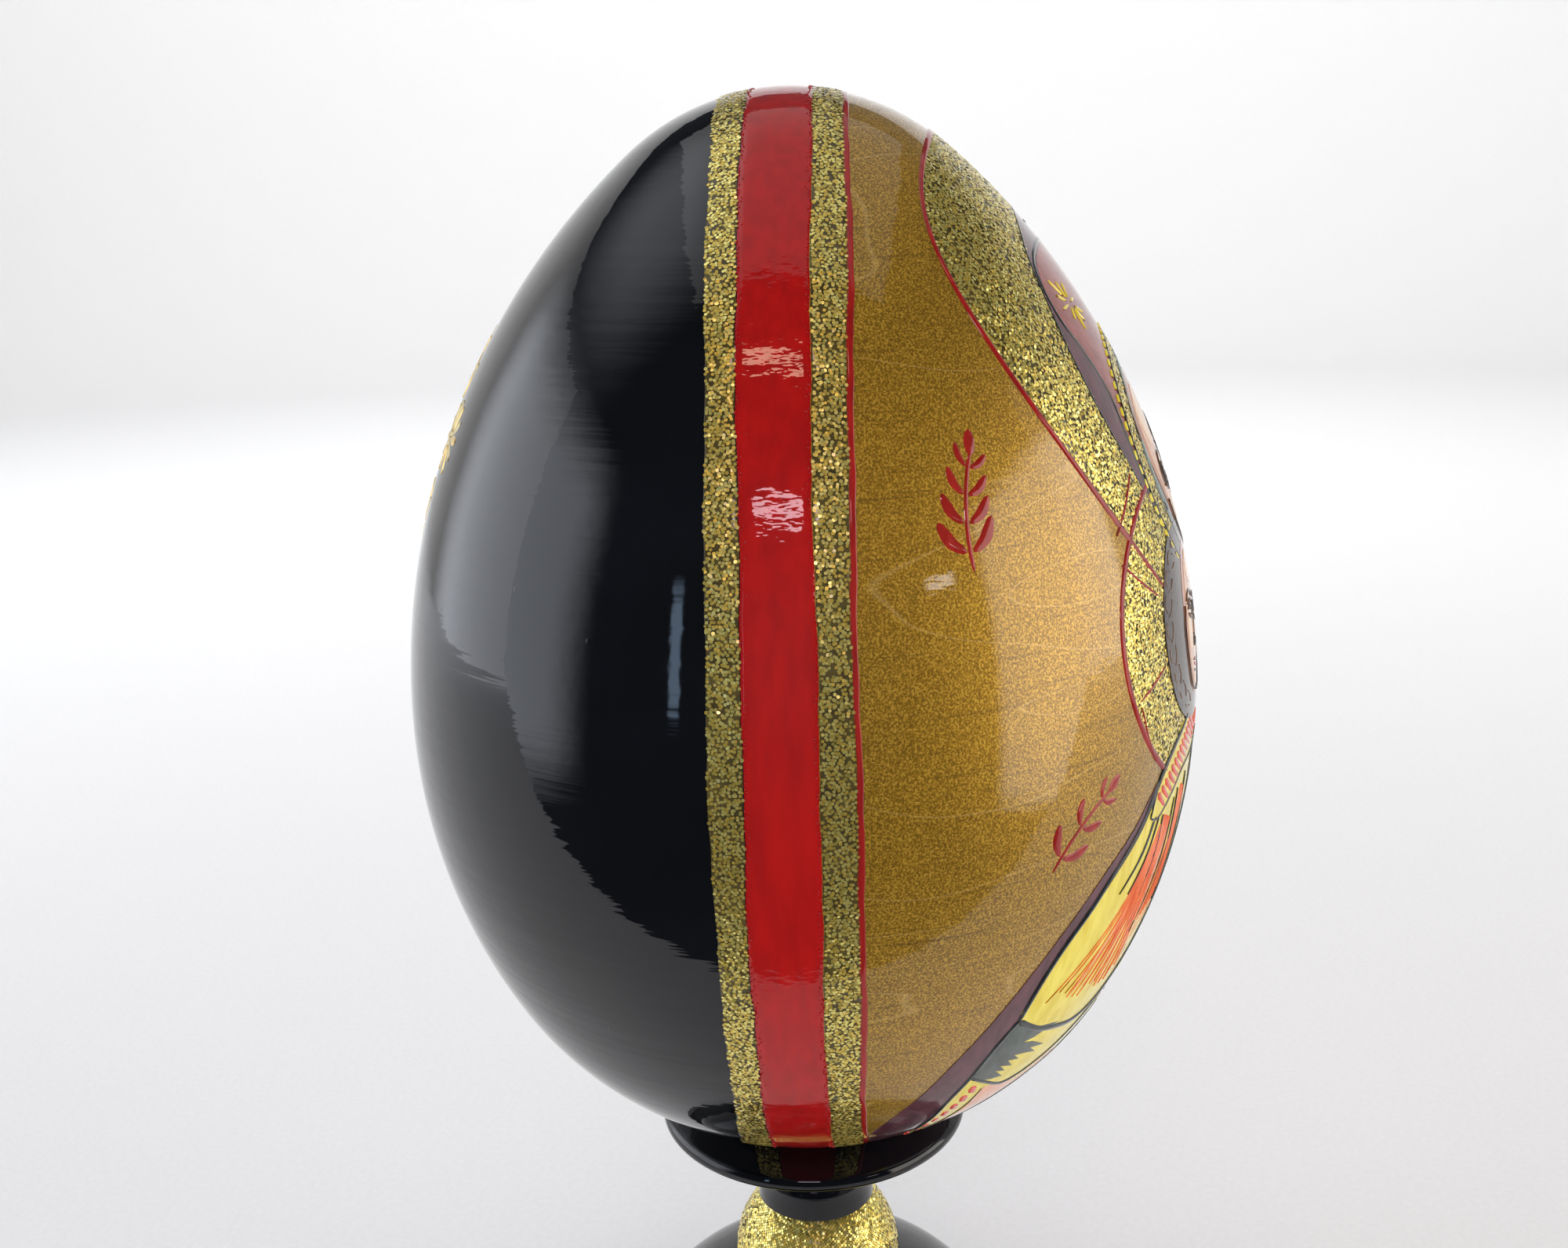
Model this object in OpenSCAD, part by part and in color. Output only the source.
// A large turned wooden egg, painted and lacquered, that stands blunt end down
// on its own turned stand: a black dish, a gold ball and a black domed foot,
// held together by a dowel on the centre line.
//
// Frame: +Z up, origin at the centre of the foot's flat underside, millimetres.
// The painted picture side of the egg faces -Y and the black side faces +Y.

/* [Egg] */
// Widest diameter of the egg
egg_w = 104; // [98:0.5:116]
// Turning radius of the side below the widest point
low_side_r = 77; // [70:0.5:95]
// Turning radius of the side above the widest point
high_side_r = 93.5; // [85:0.5:120]
// Radius of the blunt end that sits in the dish
blunt_r = 48.5; // [44:0.5:48.5]
// Radius of the upper tip
tip_r = 30.5; // [24:0.5:36]

/* [Dish] */
// Diameter of the dish at its rim
dish_w = 44; // [40:1:50]
// Height of the dish's rim below the egg's lowest point
rim_drop = 1.2; // [0.8:0.1:3]
// Radius of the rounded rim edge
rim_edge_r = 1.2; // [0.8:0.1:1.6]
// Radius of the gentle crown that the rim's top follows
crown_r = 49.5; // [44:0.5:60]
// Radius of the hollow under the rim
cove_r = 12.3; // [10:0.1:13]
// Height of the straight neck under the cove
neck_h = 1.5; // [1:0.1:2]
// Gap between the egg and its seat, so that the two loose pieces never overlap
seat_gap = 0.3; // [0.3:0.05:0.6]

/* [Ball] */
// Diameter of the gold ball
ball_d = 24; // [22:1:27]
// Glue line between the ball and the pieces above and below it
glue_gap = 0.05; // [0.02:0.01:0.1]

/* [Foot] */
// Diameter of the flat plate under the dome
foot_w = 74; // [64:1:90]
// Height of the foot plate
plate_h = 6; // [5:0.5:8]
// Turning radius of the dome's shoulder
dome_r = 20; // [16:0.5:22]
// Distance of the shoulder's centre from the centre line
dome_in = 10; // [8:0.5:12]
// Height of the shoulder's centre above the table
dome_z = 8; // [7:0.5:9]

/* [Stand] */
// Height of the egg's lowest point above the table
stand_h = 58; // [54:0.5:62]
// Height of the ball's centre above the table
ball_z = 32.4; // [31:0.1:34]
// Diameter of the centre dowel
dowel_d = 6; // [5:0.5:8]
// Radial clearance of the dowel in its holes
dowel_fit = 0.05; // [0.02:0.01:0.1]
// Depth of the dowel in the foot, below the ball's centre
dowel_low = 25; // [20:1:26]
// Height of the dowel in the dish, above the ball's centre
dowel_high = 19; // [15:1:20]

/* [Colours] */
// Colour of the lacquered wood
lacquer_colour = "#15171c"; // [#15171c:Black, #5a1a1a:Dark red]
// Colour of the glitter coat
gold_colour = "#c8a840"; // [#c8a840:Gold, #b0b0b0:Silver]
// Colour of the bare dowel
dowel_colour = "#d8b98a"; // [#d8b98a:Linden, #b98a5a:Beech]

/* [Hidden] */

$fn = 144;
over = 1; // how far a cutting shape reaches past the face it cuts

egg_r = egg_w / 2;
// Each side arc is centred at the widest level, so the widest belt runs upright.
low_in = egg_r - low_side_r;
high_in = egg_r - high_side_r;
blunt_z = -sqrt(pow(low_side_r - blunt_r, 2) - pow(low_in, 2));
tip_z = sqrt(pow(high_side_r - tip_r, 2) - pow(high_in, 2));
egg_low = blunt_r - blunt_z;
egg_high = tip_z + tip_r;
belt_z = stand_h + egg_low;

ball_r = ball_d / 2;
rim_z = stand_h - rim_drop;
rim_in = dish_w / 2 - rim_edge_r;
neck_r = rim_in - cove_r;
cove_z = rim_z - rim_edge_r - cove_r;
dish_foot_z = cove_z - neck_h;
// The crown's circle touches the rounded rim edge from outside.
crown_z = rim_z - sqrt(pow(crown_r - rim_edge_r, 2) - pow(rim_in, 2));
plate_edge_r = plate_h / 2;
dowel_z = ball_z - dowel_low;
hole_spare = 1; // spare depth past each end of the dowel

// Half of the egg's outline between the belt and one rounded end.
// side_r is the side arc, side_in its centre, end_r the end arc, end_z its centre.
module half_egg(side_r, side_in, end_r, end_z) {
    turn = end_z > 0 ? 1 : -1;
    reach = side_r / (side_r - end_r);
    joint_r = side_in - side_in * reach;
    joint_z = end_z * reach;
    intersection() {
        translate([side_in, 0]) circle(side_r);
        polygon([[0, 0], [egg_r + over, 0], [egg_r + over, joint_z], [joint_r, joint_z], [0, end_z]]);
    }
    intersection() {
        translate([0, end_z]) circle(end_r);
        polygon([[0, end_z], [joint_r, joint_z], [egg_r + over, joint_z],
                 [egg_r + over, turn * egg_w], [0, turn * egg_w]]);
    }
}

module egg() {
    color(lacquer_colour)
    translate([0, 0, belt_z])
    rotate_extrude() {
        half_egg(low_side_r, low_in, blunt_r, blunt_z);
        half_egg(high_side_r, high_in, tip_r, tip_z);
    }
}

// Outline of the dish: a crowned rim with a rounded edge over a hollow neck.
module dish_outline() {
    intersection() {
        union() {
            difference() {
                translate([0, dish_foot_z]) square([rim_in, crown_z + crown_r - dish_foot_z]);
                translate([rim_in, cove_z]) circle(cove_r);
                translate([neck_r, dish_foot_z - over]) square([cove_r + over, cove_z - dish_foot_z + over]);
            }
            translate([rim_in, rim_z]) circle(rim_edge_r);
        }
        union() {
            translate([0, crown_z]) circle(crown_r);
            translate([0, dish_foot_z]) square([dish_w, rim_z - dish_foot_z]);
        }
    }
}

module dish() {
    color(lacquer_colour)
    difference() {
        rotate_extrude() dish_outline();
        translate([0, 0, belt_z + blunt_z]) sphere(blunt_r + seat_gap);
        translate([0, 0, ball_z]) sphere(ball_r + glue_gap);
        dowel_hole();
    }
}

module gold_ball() {
    color(gold_colour)
    difference() {
        translate([0, 0, ball_z]) sphere(ball_r);
        dowel_hole();
    }
}

// Outline of the foot: a round-shouldered dome on a plate with a rounded edge.
module foot_outline() {
    square([dome_in, dome_z + dome_r]);
    intersection() {
        translate([dome_in, dome_z]) circle(dome_r);
        square([foot_w / 2, dome_z + dome_r]);
    }
    square([foot_w / 2 - plate_edge_r, plate_h]);
    translate([foot_w / 2 - plate_edge_r, plate_edge_r]) circle(plate_edge_r);
}

module foot() {
    color(lacquer_colour)
    difference() {
        rotate_extrude() foot_outline();
        translate([0, 0, ball_z]) sphere(ball_r + glue_gap);
        dowel_hole();
    }
}

// The hole that runs through foot, ball and dish for the dowel.
module dowel_hole() {
    translate([0, 0, dowel_z - hole_spare])
        cylinder(h = dowel_low + dowel_high + 2 * hole_spare, r = dowel_d / 2 + dowel_fit);
}

module centre_dowel() {
    color(dowel_colour)
    translate([0, 0, dowel_z]) cylinder(h = dowel_low + dowel_high, r = dowel_d / 2);
}

egg();
dish();
gold_ball();
foot();
centre_dowel();
